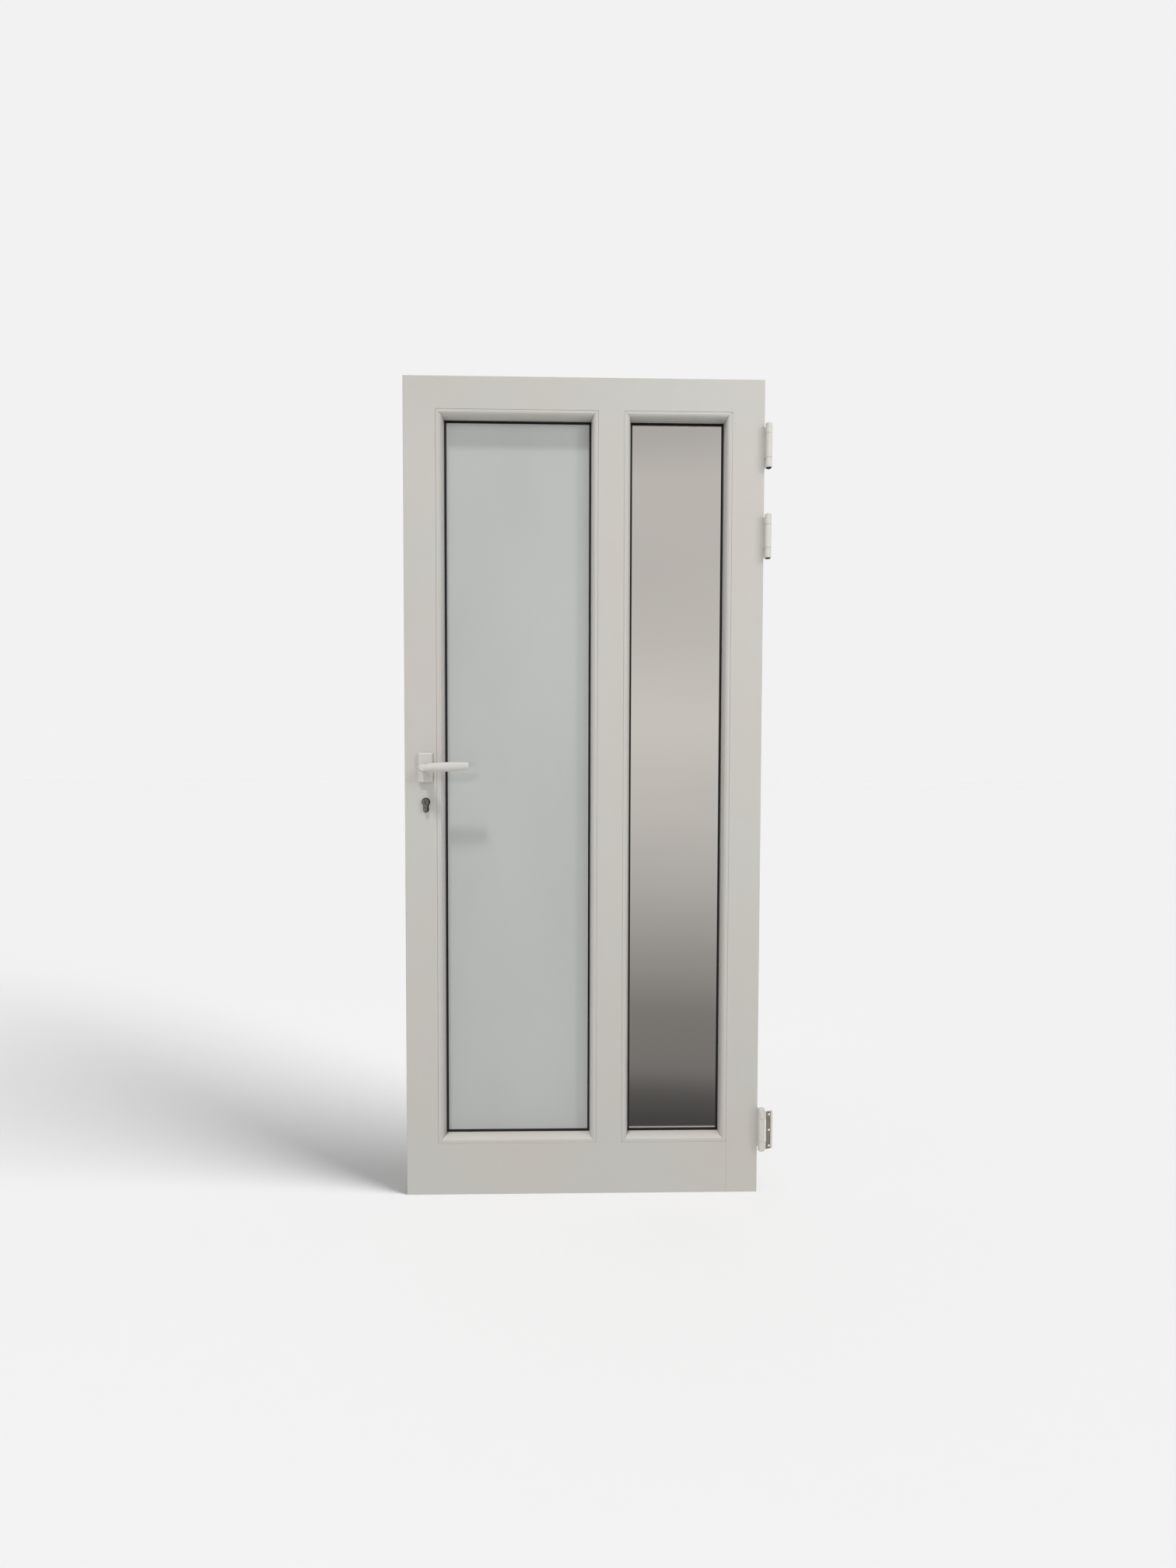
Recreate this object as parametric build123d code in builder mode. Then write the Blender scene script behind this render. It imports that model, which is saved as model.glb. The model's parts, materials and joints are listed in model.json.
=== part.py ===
"""Glazed aluminium door leaf with a side light pane, lever handle and three barrel hinges.

Millimetres, +Z up, seen from the front along +Y, with the hinges on the right.
The origin lies on the back of the upper frame plate, the face that is screwed to
the door frame, midway between its top two screws. The leaf lies to the left of x = 0.
"""
import os

from build123d import *

# Leaf
LEAF_W = 885.0
LEAF_H = 2030.0
LEAF_T = 45.0
STILE_W = 79.0
TOP_RAIL_H = 79.0
BOTTOM_RAIL_H = 130.0
MULLION_W = 63.5
WIDE_DAYLIGHT = 397.5
WALL = 2.0
EDGE_R = 1.8
SEAM_R = 0.8
JOINT_GAP = 0.4
FIN_H = 20.0
FIN_T = 3.0

# Glazing
PANE_T = 6.0
PANE_EDGE_GAP = 5.0
GASKET_T = 4.0
GASKET_SIGHT = 3.0
GASKET_INSET = 8.0
GASKET_LIP = 2.0
BEAD_W = 17.0
BEAD_LAND = 7.5
BEAD_EDGE = 1.0
BEAD_QUIRK = 0.6
BEAD_NOSE = 2.0
BEAD_WALL = 1.5
BEAD_JOINT_GAP = 0.3

# Hinges
BARREL_R = 8.2
KNUCKLE_H = 24.0
MIDDLE_KNUCKLE_H = 57.0
KNUCKLE_GAP = 0.6
PIN_R = 4.0
PIN_CLEARANCE = 0.05
PLATE_T = 3.0
PLATE_REACH = 27.0
PLATE_H = 96.0
AXIS_PROUD = 9.5
NOTCH_CLEARANCE = 1.5
CAP_H = 1.2
CAP_R = 6.8
CAP_BEVEL = 0.4
SCREW_R = 2.6
SCREW_HEAD_R = 5.0
SCREW_PITCH = 40.0
UPPER_HINGE_DROP = 163.0
MIDDLE_HINGE_DROP = 382.0
LOWER_HINGE_RISE = 166.0
LOWER_PLATE_SWING = 75.0

# Lock and handle
SPINDLE_DROP = 952.5
BACKSET = 52.0
LOCK_CENTRES = 85.0
ROSE_W = 36.0
ROSE_H = 74.0
ROSE_T = 9.0
ROSE_EDGE = 3.0
SPINDLE_SIDE = 8.0
LEVER_REACH = 112.0
LEVER_AXIS_PROUD = 44.0
LEVER_RISE = 5.0
GRIP_ROOT_H = 17.0
GRIP_ROOT_T = 12.0
GRIP_SWELL = 34.0
GRIP_H = 22.0
GRIP_T = 13.0
TIP_H = 17.5
TIP_T = 10.0
TIP_R = 2.5
NECK_R = 9.5
NECK_CLEARANCE = 0.8
NECK_START = 2.0
NECK_END_R = 5.0
SPINDLE_GRIP = 30.0
ROSE_CORNER_R = 3.2
FACEPLATE_W = 22.0
FACEPLATE_H = 240.0
FACEPLATE_T = 3.0
CASE_T = 15.0
CASE_WALL = 1.5
CASE_DEPTH = 68.0
CASE_UP = 62.0
CASE_DOWN = 130.0
FIT = 0.2
BOLT_T = 12.0
LATCH_H = 20.0
DEAD_BOLT_H = 32.0
DEAD_BOLT_DROP = 45.0
PLUG_R = 6.5
PLUG_CLEARANCE = 0.05
PLUG_DEPTH = 12.0
KEYWAY_W = 2.0
KEYWAY_H = 8.0
CYLINDER_R = 8.5
CYLINDER_WEB = 10.0
CYLINDER_H = 33.0
CYLINDER_PROUD = 8.0
CYLINDER_CUTOUT_GAP = 2.2

# Places worked out from the sizes above
CYLINDER_L = LEAF_T + 2 * CYLINDER_PROUD
AXIS_X = -BARREL_R
LEAF_RIGHT = -2 * BARREL_R
LEAF_LEFT = LEAF_RIGHT - LEAF_W
SCREW_Y = (BARREL_R + PLATE_REACH) / 2
AXIS_Y = -SCREW_Y
FRONT_Y = AXIS_Y + AXIS_PROUD
BACK_Y = FRONT_Y + LEAF_T
MID_Y = FRONT_Y + LEAF_T / 2
TOP_Z = UPPER_HINGE_DROP - SCREW_PITCH / 2
FLOOR_Z = TOP_Z - LEAF_H
WIDE_LEFT = LEAF_LEFT + STILE_W
WIDE_RIGHT = WIDE_LEFT + WIDE_DAYLIGHT
NARROW_LEFT = WIDE_RIGHT + MULLION_W
NARROW_RIGHT = LEAF_RIGHT - STILE_W
SIGHT_TOP = TOP_Z - TOP_RAIL_H
SIGHT_BOTTOM = FLOOR_Z + BOTTOM_RAIL_H
SIGHT_MID = (SIGHT_TOP + SIGHT_BOTTOM) / 2
FIN_Y = BACK_Y - FIN_T
PANE_BACK = FIN_Y - GASKET_T
PANE_FRONT = PANE_BACK - PANE_T
BEAD_BACK = PANE_FRONT - GASKET_T
BEAD_T = BEAD_BACK - FRONT_Y
SPINDLE_X = LEAF_LEFT + BACKSET
SPINDLE_Z = TOP_Z - SPINDLE_DROP
NOTCH_Y = BARREL_R + NOTCH_CLEARANCE
SCREW_STEPS = (-SCREW_PITCH, 0, SCREW_PITCH)
FACEPLATE_Z = SPINDLE_Z - LOCK_CENTRES / 2
MULLION_X = (WIDE_RIGHT + NARROW_LEFT) / 2
CYLINDER_Z = SPINDLE_Z - LOCK_CENTRES
BARREL_H = 2 * KNUCKLE_H + MIDDLE_KNUCKLE_H + 2 * KNUCKLE_GAP
HINGE_Z = {
    "upper": TOP_Z - UPPER_HINGE_DROP,
    "middle": TOP_Z - MIDDLE_HINGE_DROP,
    "lower": FLOOR_Z + LOWER_HINGE_RISE,
}


def save(block, name):
    """Label the finished piece and write its file."""
    block.part.label = name
    export_step(block.part, f"parts/{name}.step")


def frame_tube(width, outer_side, fin_sides):
    """Hollow section in x from 0 to width and in y from 0 to the leaf's thickness."""
    with Locations((width / 2, LEAF_T / 2)):
        Rectangle(width, LEAF_T)
    corners = vertices().sort_by(Axis.X)
    for corner_pair, side in ((corners[:2], -1), (corners[2:], 1)):
        fillet(corner_pair, EDGE_R if side == outer_side else SEAM_R)
    with Locations((width / 2, LEAF_T / 2)):
        Rectangle(width - 2 * WALL, LEAF_T - 2 * WALL, mode=Mode.SUBTRACT)
    for side in fin_sides:
        root_x = width / 2 + side * (width / 2 - WALL)
        tip_x = root_x + side * (WALL + FIN_H)
        with Locations(((root_x + tip_x) / 2, LEAF_T - FIN_T / 2)):
            Rectangle(FIN_H + WALL, FIN_T)


def euro_profile(clearance):
    """Outline of the lock cylinder about the centre of its round head."""
    foot_r = CYLINDER_WEB / 2 + clearance
    foot_y = CYLINDER_R + CYLINDER_WEB / 2 - CYLINDER_H
    Circle(CYLINDER_R + clearance)
    with Locations((0, foot_y / 2)):
        Rectangle(2 * foot_r, -foot_y)
    with Locations((0, foot_y)):
        Circle(foot_r)


def upright(x):
    """Plane of a vertical section whose sketch x and y are the leaf's x and y."""
    return Plane(origin=(x, FRONT_Y, FLOOR_Z), x_dir=(1, 0, 0), z_dir=(0, 0, 1))


def front_plane(x, y, z):
    """Plane facing the front, its sketch y upward."""
    return Plane(origin=(x, y, z), x_dir=(1, 0, 0), z_dir=(0, -1, 0))


def edge_plane(x, z):
    """Plane facing +X in the middle of the leaf's thickness, its sketch y upward."""
    return Plane(origin=(x, MID_Y, z), x_dir=(0, 1, 0), z_dir=(1, 0, 0))


def mitre(x, inward, side):
    """Plane at 45 degrees through a top corner, half a joint's gap to one side of it."""
    corner = Plane(origin=(x, FRONT_Y, TOP_Z), x_dir=(0, 1, 0), z_dir=(inward, 0, 1))
    return corner.offset(side * JOINT_GAP / 2)


os.makedirs("parts", exist_ok=True)

# Stiles run the full height and are mitred to the top rail
with BuildPart() as lock_stile:
    with BuildSketch(upright(LEAF_LEFT)):
        frame_tube(STILE_W, -1, (1,))
    extrude(amount=LEAF_H)
    split(bisect_by=mitre(LEAF_LEFT, 1, -1), keep=Keep.BOTTOM)
    with Locations((WIDE_LEFT + FIN_H / 2 + FIT, FIN_Y + FIN_T / 2, FLOOR_Z)):
        Box(FIN_H + 2 * FIT, FIN_T, 2 * (BOTTOM_RAIL_H + FIN_H), mode=Mode.SUBTRACT)
    with Locations((LEAF_LEFT, MID_Y, SPINDLE_Z - LOCK_CENTRES / 2)):
        Box(4 * WALL, FACEPLATE_W + FIT, FACEPLATE_H + FIT, mode=Mode.SUBTRACT)
    with Locations(Location((SPINDLE_X, MID_Y, SPINDLE_Z), (90, 0, 0))):
        Cylinder(NECK_R + 1, 2 * LEAF_T, mode=Mode.SUBTRACT)
    with BuildSketch(front_plane(SPINDLE_X, FRONT_Y - 1, CYLINDER_Z)):
        euro_profile(CYLINDER_CUTOUT_GAP)
    extrude(amount=-(LEAF_T + 2), mode=Mode.SUBTRACT)
save(lock_stile, "lock_stile")

with BuildPart() as hinge_stile:
    with BuildSketch(upright(NARROW_RIGHT)):
        frame_tube(STILE_W, 1, (-1,))
    extrude(amount=LEAF_H)
    split(bisect_by=mitre(LEAF_RIGHT, -1, -1), keep=Keep.BOTTOM)
    with Locations((NARROW_RIGHT - FIN_H / 2 - FIT, FIN_Y + FIN_T / 2, FLOOR_Z)):
        Box(FIN_H + 2 * FIT, FIN_T, 2 * (BOTTOM_RAIL_H + FIN_H), mode=Mode.SUBTRACT)
    for hinge_z in HINGE_Z.values():
        for step in SCREW_STEPS:
            with Locations(Location((LEAF_RIGHT, AXIS_Y + SCREW_Y, hinge_z + step), (0, 90, 0))):
                Cylinder(SCREW_R, 4 * WALL, mode=Mode.SUBTRACT)
save(hinge_stile, "hinge_stile")

with BuildPart() as top_rail:
    with BuildSketch(Plane(origin=(LEAF_LEFT, FRONT_Y, TOP_Z), x_dir=(0, 0, -1), z_dir=(1, 0, 0))):
        frame_tube(TOP_RAIL_H, -1, (1,))
    extrude(amount=LEAF_W)
    split(bisect_by=mitre(LEAF_LEFT, 1, 1), keep=Keep.TOP)
    split(bisect_by=mitre(LEAF_RIGHT, -1, 1), keep=Keep.TOP)
    with Locations((MULLION_X, FIN_Y + FIN_T / 2, SIGHT_TOP - FIN_H / 2 - FIT)):
        Box(MULLION_W, FIN_T, FIN_H + 2 * FIT, mode=Mode.SUBTRACT)
save(top_rail, "top_rail")

# The bottom rail is cut square between the stiles and has one web inside
with BuildPart() as bottom_rail:
    rail_left = WIDE_LEFT + JOINT_GAP
    rail_length = NARROW_RIGHT - WIDE_LEFT - 2 * JOINT_GAP
    with BuildSketch(Plane(origin=(rail_left, FRONT_Y, SIGHT_BOTTOM), x_dir=(0, 0, -1), z_dir=(1, 0, 0))):
        frame_tube(BOTTOM_RAIL_H, 1, (-1,))
        with Locations((BOTTOM_RAIL_H / 2, LEAF_T / 2)):
            Rectangle(WALL, LEAF_T - 2 * WALL)
    extrude(amount=rail_length)
    with Locations((MULLION_X, FIN_Y + FIN_T / 2, SIGHT_BOTTOM + FIN_H / 2 + FIT)):
        Box(MULLION_W, FIN_T, FIN_H + 2 * FIT, mode=Mode.SUBTRACT)
save(bottom_rail, "bottom_rail")

with BuildPart() as mullion:
    with BuildSketch(Plane(origin=(WIDE_RIGHT, FRONT_Y, SIGHT_BOTTOM))):
        frame_tube(MULLION_W, 0, (-1, 1))
    extrude(amount=SIGHT_TOP - SIGHT_BOTTOM)
    for fin_x in (WIDE_RIGHT - FIN_H / 2 - FIT, NARROW_LEFT + FIN_H / 2 + FIT):
        for end_z in (SIGHT_BOTTOM, SIGHT_TOP):
            with Locations((fin_x, FIN_Y + FIN_T / 2, end_z)):
                Box(FIN_H + 2 * FIT, FIN_T, 2 * FIN_H, mode=Mode.SUBTRACT)
save(mullion, "mullion")


def bead_outline(inset):
    """Clip-in bead: a flat land beside the frame, a small quirk, then a quarter ellipse to the gasket."""
    with BuildSketch() as outline:
        with BuildLine():
            EllipticalCenterArc(
                (BEAD_LAND, BEAD_T - BEAD_NOSE),
                BEAD_W - BEAD_LAND - inset,
                BEAD_T - BEAD_NOSE - BEAD_QUIRK - inset,
                start_angle=270,
                arc_size=90,
            )
            Polyline(
                (BEAD_W - inset, BEAD_T - BEAD_NOSE),
                (BEAD_W - inset, BEAD_T - inset),
                (inset, BEAD_T - inset),
                (inset, inset + BEAD_EDGE),
                (inset + BEAD_EDGE, inset),
                (BEAD_LAND, inset),
                (BEAD_LAND, inset + BEAD_QUIRK),
            )
        make_face()
    return outline.sketch


def glazing_ring(left, right, outer_inset, inner_inset):
    """Rectangular ring measured inward from the edges of a glazed opening."""
    width = right - left
    height = SIGHT_TOP - SIGHT_BOTTOM
    Rectangle(width - 2 * outer_inset, height - 2 * outer_inset)
    Rectangle(width - 2 * inner_inset, height - 2 * inner_inset, mode=Mode.SUBTRACT)


openings = {
    "wide": (WIDE_LEFT, WIDE_RIGHT, "opal_pane"),
    "narrow": (NARROW_LEFT, NARROW_RIGHT, "tinted_pane"),
}
for opening, (left, right, pane_name) in openings.items():
    low_left = Vector(left, FRONT_Y, SIGHT_BOTTOM)
    low_right = Vector(right, FRONT_Y, SIGHT_BOTTOM)
    high_left = Vector(left, FRONT_Y, SIGHT_TOP)
    high_right = Vector(right, FRONT_Y, SIGHT_TOP)
    sides = {
        "left": (low_left, high_left, Vector(1, 0, 0)),
        "top": (high_left, high_right, Vector(0, 0, -1)),
        "right": (high_right, low_right, Vector(-1, 0, 0)),
        "bottom": (low_right, low_left, Vector(0, 0, 1)),
    }
    for side, (start, end, inward) in sides.items():
        run = (end - start).normalized()
        with BuildPart() as bead:
            with BuildSketch(Plane(origin=start, x_dir=inward, z_dir=run)):
                add(bead_outline(0))
                add(bead_outline(BEAD_WALL), mode=Mode.SUBTRACT)
            extrude(amount=(end - start).length)
            for corner, facing in ((start, run - inward), (end, -run - inward)):
                cut = Plane(origin=corner, x_dir=(0, 1, 0), z_dir=facing).offset(BEAD_JOINT_GAP / 2)
                split(bisect_by=cut, keep=Keep.TOP)
        save(bead, f"{opening}_bead_{side}")

    centre_x = (left + right) / 2

    with BuildPart() as front_gasket:
        with BuildSketch(front_plane(centre_x, PANE_FRONT, SIGHT_MID)):
            glazing_ring(left, right, GASKET_INSET, BEAD_W + GASKET_SIGHT)
        extrude(amount=GASKET_T)
        lip = front_gasket.faces().sort_by(Axis.Y)[0].inner_wires()[0]
        chamfer(lip.edges(), GASKET_LIP)
    save(front_gasket, f"{opening}_front_gasket")

    with BuildPart() as pane:
        with BuildSketch(front_plane(centre_x, PANE_BACK, SIGHT_MID)):
            Rectangle(right - left - 2 * PANE_EDGE_GAP, SIGHT_TOP - SIGHT_BOTTOM - 2 * PANE_EDGE_GAP)
        extrude(amount=PANE_T)
    save(pane, pane_name)

    with BuildPart() as rear_gasket:
        with BuildSketch(front_plane(centre_x, FIN_Y, SIGHT_MID)):
            glazing_ring(left, right, GASKET_INSET, FIN_H + GASKET_SIGHT)
        extrude(amount=GASKET_T)
    save(rear_gasket, f"{opening}_rear_gasket")

# Hinges: every piece is drawn about its own barrel axis, plates reaching back along y
for name, hinge_z in HINGE_Z.items():
    swing = LOWER_PLATE_SWING if name == "lower" else 0.0
    leaf_side = Plane(origin=(AXIS_X, AXIS_Y, hinge_z))
    frame_side = leaf_side.rotated((0, 0, -swing))
    middle_low = -MIDDLE_KNUCKLE_H / 2
    outer_low = -BARREL_H / 2
    plate_low = -PLATE_H / 2

    with BuildPart() as door_plate:
        with BuildSketch(leaf_side.offset(middle_low)):
            Circle(BARREL_R)
            with Locations((-BARREL_R, 0)):
                Rectangle(PLATE_T, PLATE_REACH, align=(Align.MIN, Align.MIN))
            Circle(PIN_R + PIN_CLEARANCE, mode=Mode.SUBTRACT)
        extrude(amount=MIDDLE_KNUCKLE_H)
        with BuildSketch(leaf_side.offset(plate_low)):
            with Locations((-BARREL_R, NOTCH_Y)):
                Rectangle(PLATE_T, PLATE_REACH - NOTCH_Y, align=(Align.MIN, Align.MIN))
        extrude(amount=PLATE_H)
        with Locations(Plane(leaf_side.location * Location((PLATE_T - BARREL_R, SCREW_Y, 0), (0, 90, 0)))):
            with Locations(*((step, 0) for step in SCREW_STEPS)):
                CounterSinkHole(SCREW_R, SCREW_HEAD_R, depth=PLATE_T)
    save(door_plate, f"{name}_door_plate")

    with BuildPart() as frame_plate:
        with BuildSketch(frame_side.offset(outer_low)):
            Circle(BARREL_R)
            Circle(PIN_R, mode=Mode.SUBTRACT)
        extrude(amount=BARREL_H)
        with BuildSketch(frame_side.offset(plate_low)):
            with Locations((BARREL_R, 0)):
                Rectangle(PLATE_T, PLATE_REACH, align=(Align.MAX, Align.MIN))
        extrude(amount=PLATE_H)
        with BuildSketch(frame_side.offset(middle_low - KNUCKLE_GAP)):
            Rectangle(2 * BARREL_R, 2 * NOTCH_Y)
        extrude(amount=MIDDLE_KNUCKLE_H + 2 * KNUCKLE_GAP, mode=Mode.SUBTRACT)
        with Locations(Plane(frame_side.location * Location((BARREL_R - PLATE_T, SCREW_Y, 0), (0, -90, 0)))):
            with Locations(*((step, 0) for step in SCREW_STEPS)):
                CounterSinkHole(SCREW_R, SCREW_HEAD_R, depth=PLATE_T)
    save(frame_plate, f"{name}_frame_plate")

    with BuildPart() as pin:
        with BuildSketch(leaf_side.offset(outer_low)):
            Circle(PIN_R)
        extrude(amount=BARREL_H)
    save(pin, f"{name}_hinge_pin")

    for end, cap_z in (("top", -outer_low), ("bottom", outer_low - CAP_H)):
        with BuildPart() as cap:
            with BuildSketch(leaf_side.offset(cap_z)):
                Circle(CAP_R)
            extrude(amount=CAP_H)
            chamfer(cap.edges().group_by(Axis.Z)[-1 if end == "top" else 0], CAP_BEVEL)
        save(cap, f"{name}_{end}_cap")

# Mortice lock in the lock stile, its bolts drawn back flush with the faceplate
with BuildPart() as faceplate:
    with BuildSketch(edge_plane(LEAF_LEFT, FACEPLATE_Z)):
        Rectangle(FACEPLATE_W, FACEPLATE_H)
        for bolt_z, bolt_h in ((SPINDLE_Z, LATCH_H), (CYLINDER_Z - DEAD_BOLT_DROP, DEAD_BOLT_H)):
            with Locations((0, bolt_z - FACEPLATE_Z)):
                Rectangle(BOLT_T + 2 * FIT, bolt_h + 2 * FIT, mode=Mode.SUBTRACT)
    extrude(amount=FACEPLATE_T)
save(faceplate, "lock_faceplate")

with BuildPart() as lock_case:
    case_z = SPINDLE_Z + (CASE_UP - CASE_DOWN) / 2
    with BuildSketch(edge_plane(LEAF_LEFT + FACEPLATE_T, case_z)):
        Rectangle(CASE_T, CASE_UP + CASE_DOWN)
    extrude(amount=CASE_DEPTH)
    offset(amount=-CASE_WALL, mode=Mode.SUBTRACT)
    with Locations(Location((SPINDLE_X, MID_Y, SPINDLE_Z), (90, 0, 0))):
        Cylinder(SPINDLE_SIDE, 2 * CASE_T, mode=Mode.SUBTRACT)
    with BuildSketch(front_plane(SPINDLE_X, FRONT_Y, CYLINDER_Z)):
        euro_profile(FIT)
    extrude(amount=-LEAF_T, mode=Mode.SUBTRACT)
save(lock_case, "lock_case")

for name, bolt_z, bolt_h in (
    ("latch_bolt", SPINDLE_Z, LATCH_H),
    ("dead_bolt", CYLINDER_Z - DEAD_BOLT_DROP, DEAD_BOLT_H),
):
    with BuildPart() as bolt:
        with Locations((LEAF_LEFT + FACEPLATE_T / 2, MID_Y, bolt_z)):
            Box(FACEPLATE_T, BOLT_T, bolt_h)
    save(bolt, name)

with BuildPart() as cylinder_body:
    with BuildSketch(front_plane(SPINDLE_X, FRONT_Y - CYLINDER_PROUD, CYLINDER_Z)):
        euro_profile(0)
    extrude(amount=-(LEAF_T + 2 * CYLINDER_PROUD))
    for out in (-1, 1):
        with Locations(Location((SPINDLE_X, MID_Y + out * CYLINDER_L / 2, CYLINDER_Z), (90, 0, 0))):
            Cylinder(PLUG_R + PLUG_CLEARANCE, 2 * PLUG_DEPTH, mode=Mode.SUBTRACT)
save(cylinder_body, "cylinder_body")

with BuildPart() as cylinder_plugs:
    for out in (-1, 1):
        plug_y = MID_Y + out * (CYLINDER_L - PLUG_DEPTH) / 2
        with Locations(Location((SPINDLE_X, plug_y, CYLINDER_Z), (90, 0, 0))):
            Cylinder(PLUG_R, PLUG_DEPTH)
        with Locations((SPINDLE_X, plug_y + out * PLUG_DEPTH / 2, CYLINDER_Z - KEYWAY_H / 4)):
            Box(KEYWAY_W, PLUG_DEPTH, KEYWAY_H, mode=Mode.SUBTRACT)
save(cylinder_plugs, "cylinder_plugs")

# Roses and levers, the same on both faces of the leaf
with BuildPart() as spindle:
    with Locations((SPINDLE_X, MID_Y, SPINDLE_Z)):
        Box(SPINDLE_SIDE, LEAF_T + 2 * SPINDLE_GRIP, SPINDLE_SIDE)
save(spindle, "spindle")

for side_name, face_y, out in (("front", FRONT_Y, -1), ("rear", BACK_Y, 1)):
    outward = Plane(origin=(SPINDLE_X, face_y, SPINDLE_Z), x_dir=(-out, 0, 0), z_dir=(0, out, 0))

    with BuildPart() as rose:
        with BuildSketch(outward):
            RectangleRounded(ROSE_W, ROSE_H, ROSE_CORNER_R)
        extrude(amount=ROSE_T)
        rim = rose.faces().sort_by(Axis.Y)[0 if out < 0 else -1].edges()
        chamfer(rim, ROSE_EDGE)
        with BuildSketch(outward):
            Circle(NECK_R + NECK_CLEARANCE)
        extrude(amount=ROSE_T, mode=Mode.SUBTRACT)
    save(rose, f"{side_name}_rose")

    elbow = Vector(SPINDLE_X, face_y + out * LEVER_AXIS_PROUD, SPINDLE_Z)
    tip = elbow + Vector(LEVER_REACH, 0, LEVER_RISE)
    along = (tip - elbow).normalized()
    sections = (
        (elbow, GRIP_ROOT_H, GRIP_ROOT_T),
        (elbow + along * GRIP_SWELL, GRIP_H, GRIP_T),
        (tip, TIP_H, TIP_T),
    )
    with BuildPart() as lever:
        with BuildSketch(outward.offset(NECK_START)):
            Circle(NECK_R)
        extrude(amount=LEVER_AXIS_PROUD + GRIP_T / 2 - NECK_START)
        fillet(lever.faces().sort_by(Axis.Y)[0 if out < 0 else -1].edges(), NECK_END_R)
        for place, height, depth in sections:
            with BuildSketch(Plane(origin=place, x_dir=(0, 0, 1), z_dir=along)):
                Ellipse(height / 2, depth / 2)
        loft()
        fillet(lever.faces().sort_by(Axis.X)[-1].edges(), TIP_R)
        with BuildSketch(outward.offset(NECK_START)):
            Rectangle(SPINDLE_SIDE, SPINDLE_SIDE)
        extrude(amount=SPINDLE_GRIP - NECK_START, mode=Mode.SUBTRACT)
    save(lever, f"{side_name}_lever")
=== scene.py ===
"""Looks of a glazed aluminium door leaf, laid out as an add-on and run as a script."""
import json
import math

import bmesh
import bpy
from mathutils import Matrix, Vector


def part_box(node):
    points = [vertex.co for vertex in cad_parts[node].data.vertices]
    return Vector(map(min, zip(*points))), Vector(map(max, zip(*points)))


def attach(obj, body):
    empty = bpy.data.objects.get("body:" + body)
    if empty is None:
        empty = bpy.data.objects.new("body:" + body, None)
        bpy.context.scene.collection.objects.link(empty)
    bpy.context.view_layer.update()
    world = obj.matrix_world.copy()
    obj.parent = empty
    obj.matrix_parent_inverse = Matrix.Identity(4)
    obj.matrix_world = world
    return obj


bl_info = {
    "name": "Glazed Aluminium Door",
    "version": (1, 0, 0),
    "blender": (4, 5, 0),
    "location": "View3D > Sidebar > Door",
    "description": "Finishes, screws and studio of a glazed aluminium door leaf",
    "category": "Object",
}

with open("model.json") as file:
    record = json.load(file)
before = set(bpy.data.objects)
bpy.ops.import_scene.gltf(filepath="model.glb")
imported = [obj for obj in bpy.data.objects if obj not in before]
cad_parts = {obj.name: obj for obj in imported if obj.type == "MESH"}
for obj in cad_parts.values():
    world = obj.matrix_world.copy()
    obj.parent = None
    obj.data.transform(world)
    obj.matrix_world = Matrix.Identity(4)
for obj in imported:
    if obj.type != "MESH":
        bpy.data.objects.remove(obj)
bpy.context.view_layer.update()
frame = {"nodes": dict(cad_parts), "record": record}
NODES = frame["nodes"]
SLOT_OF = {part["node"]: part["material_slot"] for part in frame["record"]["subparts"]}
MM = 0.001

# Distances from the hinge's axis over which the darker brownish part of a frame plate's back starts and
# ends
DARK_BACK_START = (8.3 * MM, 8.6 * MM)
DARK_BACK_END = (21 * MM, 22.5 * MM)
DARK_BACK_RAGGED = 0.4 * MM
# How squarely a face has to look the way of the plate's back, as a cosine
DARK_BACK_SQUARE = (0.98, 0.995)

# How far in from a gasket's outer edge its lip is rooted, and how far the lip stays off the pane
LIP_ROOT = {"front": 12 * MM, "rear": 15 * MM}
LIP_LIFT = 0.05 * MM

# Sealer is a little wider than the joint it fills, and ends short of the leaf's edges
SEALER_SHARE = 0.55
SEALER_FOOT = 0.3 * MM
SEALER_CORNER = 0.4 * MM

BUSH_SIDES = 64
BUSH_RECESS = 0.4 * MM
BUSH_DEPTH = 6 * MM

# The hinge screws stand on the outer face of the door plates, in the middle of their reach
HINGE_PLATE_THICK = 3 * MM
HINGE_SCREW_Y = 0.0
HINGE_SCREWS = 3
FACEPLATE_SCREWS = 2
SCREW_SIDES = 40

# Brightness of the room in gloss, from straight down at 0 to straight up at 1
ROOM_BELOW = ((0.285, 0.10), (0.30, 0.17), (0.311, 0.31), (0.344, 0.34), (0.389, 0.61), (0.46, 0.89))
ROOM_ABOVE = ((0.535, 1.0), (0.603, 0.88), (0.665, 0.92), (0.69, 0.70), (0.80, 0.5))

PANEL_SIZE = 1.2
PANEL_PLACE = (1.2, -1.5, 0.9)
PANEL_AIM = (-0.3, 0, -0.2)

# Where the camera stands, and its turns in radians
CAMERA_PLACE = (-0.4905, -1.9351, -0.777)
CAMERA_YAW = 0.022
CAMERA_PITCH = 0.0374
CAMERA_ROLL = 0.0028
SENSOR_WIDTH = 36


def linear(hex_colour):
    """Linear RGBA of an sRGB hex colour such as "#CFCDC8"."""
    channels = [int(hex_colour[i : i + 2], 16) / 255 for i in (1, 3, 5)]
    return (*(c / 12.92 if c <= 0.04045 else ((c + 0.055) / 1.055) ** 2.4 for c in channels), 1.0)


def colour_prop(name, description, hex_colour):
    """Colour property with its default given in sRGB hex."""
    return bpy.props.FloatVectorProperty(
        name=name,
        description=description,
        default=linear(hex_colour),
        size=4,
        min=0,
        max=1,
        subtype="COLOR",
    )


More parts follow.
